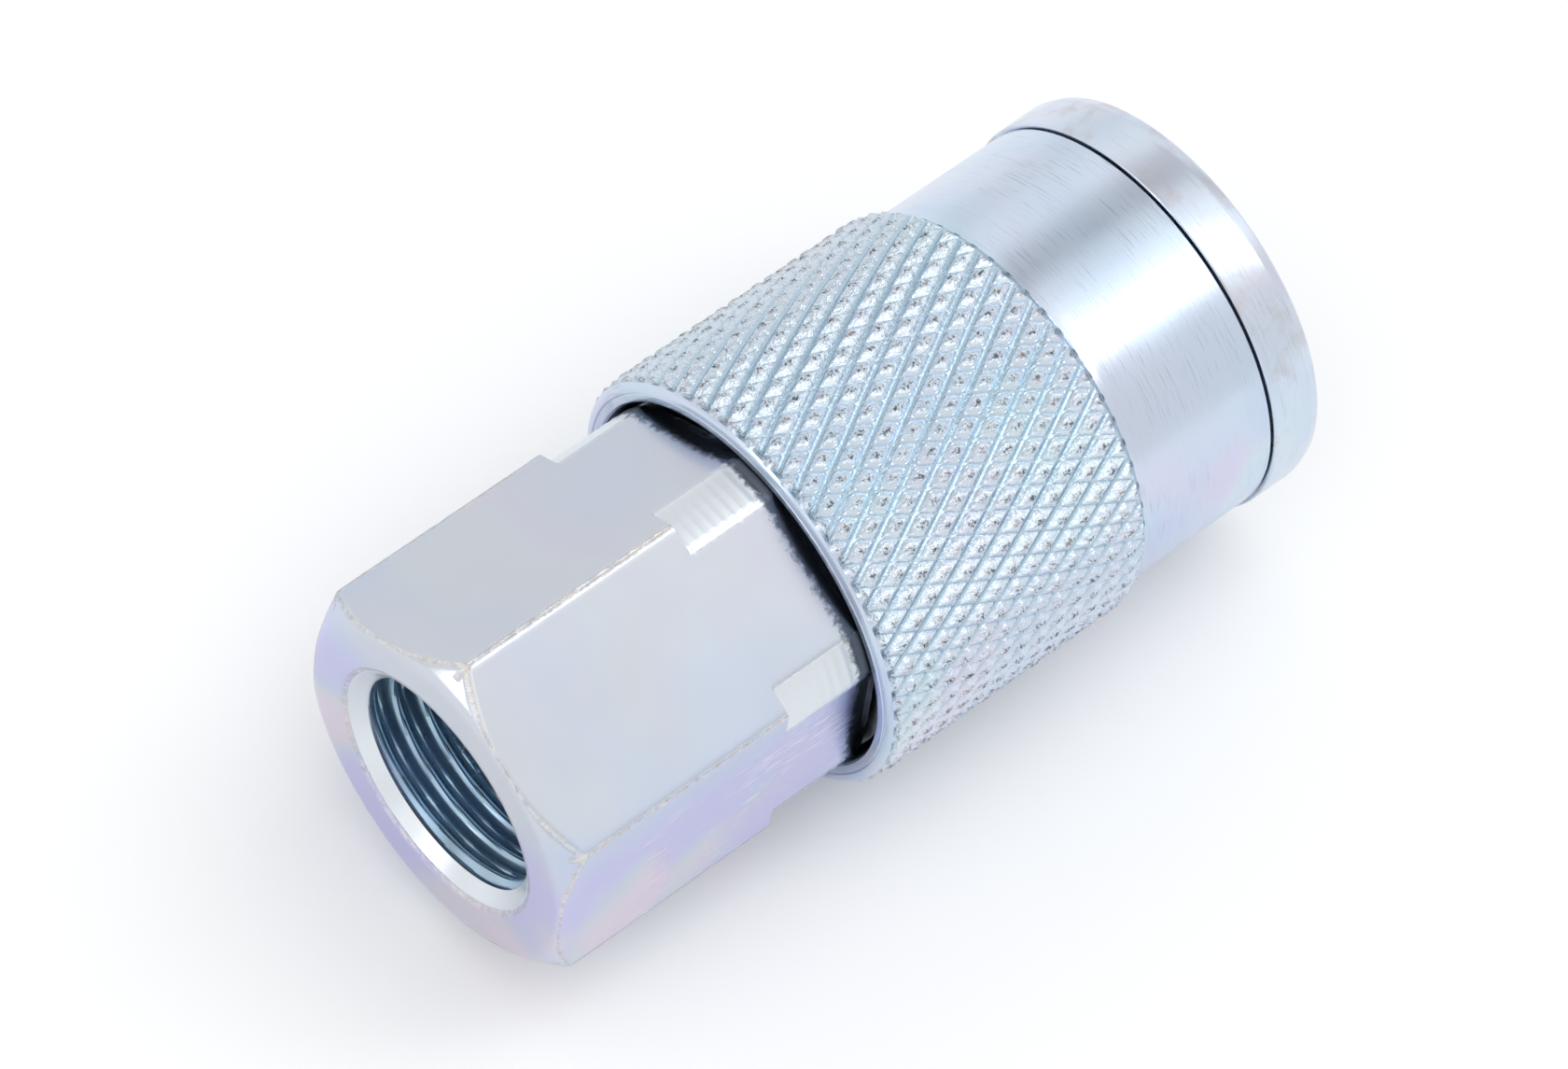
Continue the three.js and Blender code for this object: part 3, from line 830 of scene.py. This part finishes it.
def makeSleeve():
    s = sleeve
    random = np.random.default_rng(8)
    craters = random.uniform(0.0, 0.2, 997)
    samples = s["samples"]
    columns = s["grooves"] * samples
    repeat = 2 * math.pi / s["grooves"]
    start = math.radians((s["offsetA"] + s["offsetB"]) / 2)
    angles = start + np.arange(columns) * repeat / samples
    advance = s["knurlRadius"] / math.tan(math.radians(s["slant"]))      # along the axis, per radian
    step = repeat * advance / samples
    crossing = s["station"] + math.radians(s["offsetA"] - s["offsetB"]) / 2 * advance
    first = math.ceil((s["rear"] + 0.34 - crossing) / step)
    last = math.floor((s["knurlFront"] + 0.02 - crossing) / step)
    knurlStations = crossing + np.arange(first, last + 1) * step
    full = np.ones(columns)
    rows = []                                    # station, radius, knurl mark, crest mark

    def add(x, radius, knurl=0.0, crest=0.0):
        rows.append((x * full, radius * full, knurl * full, crest * full))

    def knurled(x, at):
        blank = float(sleeveOutside(np.array(x)))
        fade = float(np.clip((x - s["rear"] - 0.22) / 0.2, 0, 1))
        height, crest = knurlHeight(x, at, craters)
        radius = np.minimum(s["knurlRadius"] - s["depth"] * (1 - height), blank)
        rubbed = float(np.clip(1.3 - (x - s["rear"]) / 0.7, 0, 0.4))
        return blank * (1 - fade) + radius * fade, np.maximum(fade * crest, rubbed)

    # rear rim, from its bore edge round to the grip
    add(s["rear"] + 0.4, s["chamber"])
    add(s["rear"] + 0.14, s["chamber"] + 0.05)
    add(s["rear"] + 0.03, s["chamber"] + 0.16)
    add(s["rear"], s["chamber"] + 0.3)
    add(s["rear"], s["knurlRadius"] - 0.86)
    add(s["rear"] + 0.05, s["knurlRadius"] - 0.82)
    add(s["rear"] + 0.012, s["knurlRadius"] - 0.76)
    for x in (0.05, 0.1, 0.16, 0.23):
        add(s["rear"] + x, float(sleeveOutside(np.array(s["rear"] + x))))
    firstCrossed = len(rows)
    for x in knurlStations:
        radius, crest = knurled(x, angles)
        add(x, radius, 1.0, crest)
    lastCrossed = len(rows) - 1
    # plain front, turned true to about a micron, then the bore back to the spring's chamber
    for x in np.linspace(s["knurlFront"] + 0.05, s["front"] - 0.12, 18):
        add(x, s["plainRadius"] + random.normal(0, 0.0012))
    for x, radius in [(s["front"] - 0.07, s["plainRadius"]),
                      (s["front"] - 0.015, s["plainRadius"] - 0.03),
                      (s["front"], s["plainRadius"] - 0.1), (s["front"], s["land"] + 0.2),
                      (s["front"] - 0.2, s["land"]), (s["recessFront"], s["land"]),
                      (s["recessFront"], s["recess"]), (s["recessRear"], s["recess"]),
                      (s["landFront"], s["land"]), (s["shoulder"] + 0.2, s["land"]),
                      (s["shoulder"], s["land"] + 0.2), (s["shoulder"], s["chamber"] - 0.3),
                      (s["shoulder"] - 0.3, s["chamber"])]:
        add(x, radius)
    x, radius, knurl, crest = (np.array(part) for part in zip(*rows))
    points = roundTheAxis(x, radius, angles).reshape(-1, 3)
    crossed = range(firstCrossed, lastCrossed)
    middles, middleCrest = [], []
    betweenColumns = angles + repeat / samples / 2
    for i in crossed:
        station = (x[i, 0] + x[i + 1, 0]) / 2
        radiusHere, crestHere = knurled(station, betweenColumns)
        middles.append(roundTheAxis(station, radiusHere, betweenColumns))
        middleCrest.append(crestHere)
    points = np.concatenate([points, np.concatenate(middles)])
    marks = {
        "knurl": np.concatenate([knurl.ravel(), np.ones(len(middles) * columns)]),
        "crest": np.concatenate([crest.ravel(), np.concatenate(middleCrest)]),
    }
    fromAxis = np.hypot(points[:, 1], points[:, 2])
    # deep marks the groove bottoms, which are painted darker as painted shade
    marks["deep"] = marks["knurl"] * np.clip((s["knurlRadius"] - 0.29 - fromAxis) / 0.16, 0, 1)
    faces = skinFaces(len(rows), columns, set(crossed))
    newPiece("knurled_sleeve", points, faces, "sleeve", ["locking_sleeve"],
             zincPlatedKnurledSteel, 24, marks)


makeSleeve()
print("sleeve made")


socket = {
    "outside": 8.5, "bore": 6.0, "counterbore": 7.4, "neck": 4.3, "seatFace": 27.5,
    "packingRear": 31.0, "packingFront": 34.7, "packing": 6.9, "collarSeat": 8.0, "mouth": 7.2,
    "snapHalf": 0.45, "snapDepth": 0.4, "mouthDepth": 1.2,
    "stepGap": 0.3,             # behind the CAD collar, and 0.1 behind the collar drawn here
    "ballHoles": 6,
    "holeLip": 0.19,            # how much smaller than a ball the hole is on the inside
    "holeRoom": 0.17,           # and how much larger outside
    "holeWidens": 6.97,         # radius where it has grown to that
}


def makeBody():
    b = socket
    rear, end, _ = bodyBox
    snap = (snapBox[0] + snapBox[1]) / 2
    step = collarBox[0] - b["stepGap"]
    seat = b["collarSeat"]
    snapRear = snap - b["snapHalf"]
    snapFront = snap + b["snapHalf"]
    snapFloor = seat - b["snapDepth"]
    outline = [
        (rear, b["counterbore"]), (rear, b["outside"]), (step, b["outside"]), (step, seat),
        (snapRear, seat), (snapRear, snapFloor), (snapFront, snapFloor), (snapFront, seat),
        (end, seat), (end, b["mouth"]), (end - b["mouthDepth"], b["bore"]),
        (b["packingFront"], b["bore"]), (b["packingFront"], b["packing"]),
        (b["packingRear"], b["packing"]), (b["packingRear"], b["neck"]),
        (b["seatFace"], b["neck"]), (b["seatFace"], b["counterbore"]),
    ]
    radii = [0.15, 0.25, 0.1, 0.05, 0.06, 0.08, 0.08, 0.06, 0.2, 0.25, 0.3, 0.08, 0.1, 0.1, 0.15, 0.2,
             0.05]
    body = turnedPiece("socket_tube", outline, radii, "coupler_body", ["socket_body"],
                       zincPlatedTurnedSteel)
    lip = ballRadius - b["holeLip"]
    wide = ballRadius + b["holeRoom"]
    tool = [(b["bore"] - 1.2, lip), (b["bore"] + 0.12, lip), (b["holeWidens"], wide),
            (b["outside"] + 1, wide)]
    cutters = []
    for i in range(b["ballHoles"]):
        angle = i * 2 * math.pi / b["ballHoles"]
        direction = (0, -math.sin(angle), math.cos(angle))
        cutters.append(cutterAlong(tool, direction, (ballPlane, 0, 0)))
    cutWith(body, cutters)


makeBody()


def makeBalls():
    for i in range(socket["ballHoles"]):
        low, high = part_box(f"locking_ball_{i + 1}")
        centre = (np.array(low) + np.array(high)) / 2 / mm
        mesh = bpy.data.meshes.new(f"ball_{i + 1}")
        build = bmesh.new()
        bmesh.ops.create_icosphere(build, subdivisions=4, radius=ballRadius * 0.998 * mm)
        bmesh.ops.translate(build, verts=build.verts, vec=Vector(centre) * mm)
        build.to_mesh(mesh)
        build.free()
        mesh.shade_smooth()
        mesh.materials.append(polishedBearingSteel)
        piece = addObject(f"bearing_ball_{i + 1}", mesh)
        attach(piece, f"ball_{i + 1}")
        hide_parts(f"locking_ball_{i + 1}")


makeBalls()


collar = {
    "seamShift": 0.2,           # the seam closes up as far as the turning sleeve allows
    "boreGap": 0.15,
    "snapRoom": 1.0,            # counterbore round the snap ring
    "snapGap": 0.1,
}


def makeCollar():
    c = collar
    rear, front, radius = collarBox
    rear -= c["seamShift"]
    bore = socket["collarSeat"] + c["boreGap"]
    counterbore = socket["collarSeat"] + c["snapRoom"]
    snapRear = snapBox[0] - c["snapGap"]
    outline = [
        (rear, bore), (rear, radius - 0.1), (rear + 0.06, radius - 0.02), (rear + 1.5, radius),
        (front - 0.85, radius), (front - 0.2, radius - 0.22), (front, radius - 0.95),
        (front, counterbore), (snapRear, counterbore), (snapRear, bore),
    ]
    radii = [0.05, 0.04, 0.05, 1.5, 0.7, 0.3, 0.2, 0.15, 0.1, 0.08]
    turnedPiece("collar_ring", outline, radii, "coupler_body", ["front_collar"],
                zincPlatedTumbledSteel, 256)


snapRing = {"halfArc": 0.93 * math.pi, "steps": 140}


def makeSnapRing():
    # round wire, open at the bottom
    rear, front, outside = snapBox
    wire = (front - rear) / 2
    radius = outside - wire
    path = [((rear + front) / 2, radius * math.sin(a), radius * math.cos(a))
            for a in np.linspace(-snapRing["halfArc"], snapRing["halfArc"], snapRing["steps"])]
    wirePiece("snap_ring_wire", path, wire, "coupler_body", ["collar_snap_ring"],
              drawnSpringSteel)


makeCollar()
makeSnapRing()
print("collar, body and balls made")


coils = {"turns": 5, "sleeveWire": 0.42, "valveWire": 0.3, "sleeveTravel": 5, "valveTravel": 4}


def coilPath(box, wireRadius, stepsPerTurn=40):
    # the last turn at each end lies close to the one before it
    rear, front, outside = box
    turns = coils["turns"]
    radius = outside - wireRadius
    reach = front - rear - 2 * wireRadius
    close = 2.2 * wireRadius / reach
    points = []
    for turn in np.linspace(0, turns, turns * stepsPerTurn + 1):
        share = np.interp(turn, [0, 1, turns - 1, turns], [0, close, 1 - close, 1])
        angle = turn * 2 * math.pi
        points.append((rear + wireRadius + share * reach, radius * math.sin(angle),
                       radius * math.cos(angle)))
    return points


def makeCoil(name, box, wireRadius, node):
    # coil of round wire, given a mesh of its own
    coil = wirePiece(name, coilPath(box, wireRadius), wireRadius, "coupler_body", [node],
                     drawnSpringSteel)
    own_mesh(coil)


makeCoil("sleeve_coil", sleeveSpringBox, coils["sleeveWire"], "sleeve_spring")
makeCoil("valve_coil", valveSpringBox, coils["valveWire"], "valve_spring")
washers = {"bore": 8.6, "corner": 0.1}
flatRing("spring_seat_washer", rearWasherBox, washers["bore"], washers["corner"], "coupler_body",
         ["rear_spring_washer"], drawnSpringSteel)
flatRing("thrust_ring", thrustBox, washers["bore"], washers["corner"], "thrust_washer",
         ["sleeve_thrust_washer"], drawnSpringSteel)


poppet = {
    "gapToSeal": 0.15, "headLength": 1.8, "nose": 3.5, "stem": 1.6, "slotHalf": 0.9, "slotDepth": 2,
    "sealBore": 3.6,
}


def makePoppet():
    p = poppet
    rear, front, head = poppetBox
    headFront = sealBox[0] - p["gapToSeal"]
    headRear = headFront - p["headLength"]
    nose, stem = p["nose"], p["stem"]
    outline = [(rear, 0.02), (rear, stem), (headRear, stem), (headRear, head), (headFront, head),
               (headFront, nose), (front, nose), (front, 0.02)]
    radii = [0, 0.3, 0.2, 0.15, 0.1, 0.1, 0.35, 0]
    piece = turnedPiece("poppet", outline, radii, "valve", ["valve_poppet"], turnedBrass,
                        96)
    # two slots across the nose let the air past
    cutters = []
    across = [(-p["slotHalf"], p["slotHalf"]), (-2 * nose, 2 * nose)]
    for sideways, upwards in (across, across[::-1]):
        corners = [(x * mm, y * mm, z * mm) for x in (front - p["slotDepth"], front + 1)
                   for y in sideways for z in upwards]
        mesh = bpy.data.meshes.new("slot")
        mesh.from_pydata(corners, [],
                         [(0, 1, 3, 2), (4, 6, 7, 5), (0, 4, 5, 1), (2, 3, 7, 6), (0, 2, 6, 4),
                          (1, 5, 7, 3)])
        cutters.append(addObject("slot", mesh))
    cutWith(piece, cutters)


makePoppet()
flatRing("valve_face_seal", sealBox, poppet["sealBore"], 0.2, "valve", ["valve_seal"],
         mouldedNitrileRubber, 96)


guide = {"stemHole": 1.72, "hub": 2.4, "web": 1, "holes": 4, "holeRadius": 0.9, "holeRing": 3.4}


def makeGuide():
    g = guide
    rear, front, outer = guideBox
    webFront = rear + g["web"]
    outline = [(rear, g["stemHole"]), (rear, outer), (webFront, outer), (webFront, g["hub"]),
               (front, g["hub"]), (front, g["stemHole"])]
    piece = turnedPiece("spider", outline, 0.12, "coupler_body", ["valve_guide"],
                        turnedBrass, 96)
    cutters = []
    for i in range(g["holes"]):
        angle = (i + 0.5) / g["holes"] * 2 * math.pi
        place = (rear - 1, -g["holeRing"] * math.sin(angle), g["holeRing"] * math.cos(angle))
        drill = [(0, g["holeRadius"]), (g["web"] + 2, g["holeRadius"])]
        cutters.append(cutterAlong(drill, (1, 0, 0), place, 24))
    cutWith(piece, cutters)


seals = {
    "oRingSides": 16, "packingHeel": 5.65, "packingLip": 5.15, "packingBore": 4.75, "backupBore": 5.1,
}


def makeSeals():
    q = seals
    rear, front, outside = oRingBox
    cord = (front - rear) / 2
    outline = [((rear + front) / 2 - cord * math.cos(t), outside - cord + cord * math.sin(t))
               for t in np.linspace(0, 2 * math.pi, q["oRingSides"], endpoint=False)]
    turnedPiece("body_seal", outline, 0, "coupler_body", ["body_o_ring"],
                mouldedNitrileRubber, 96)
    rear, front, outside = packingBox
    outline = [(rear, q["packingHeel"]), (rear, outside), (front, outside), (front, q["packingLip"]),
               (front - 0.8, q["packingBore"]), (rear + 0.6, q["packingBore"])]
    turnedPiece("packing_lip", outline, [0.2, 0.2, 0.2, 0.25, 0.4, 0.3], "coupler_body",
                ["plug_packing"], mouldedNitrileRubber, 128)
    flatRing("backup_ring", backupBox, q["backupBore"], 0.12, "coupler_body", ["packing_backup_ring"],
             turnedPtfe, 128)


makeGuide()
makeSeals()
print("springs, valve and seals made")
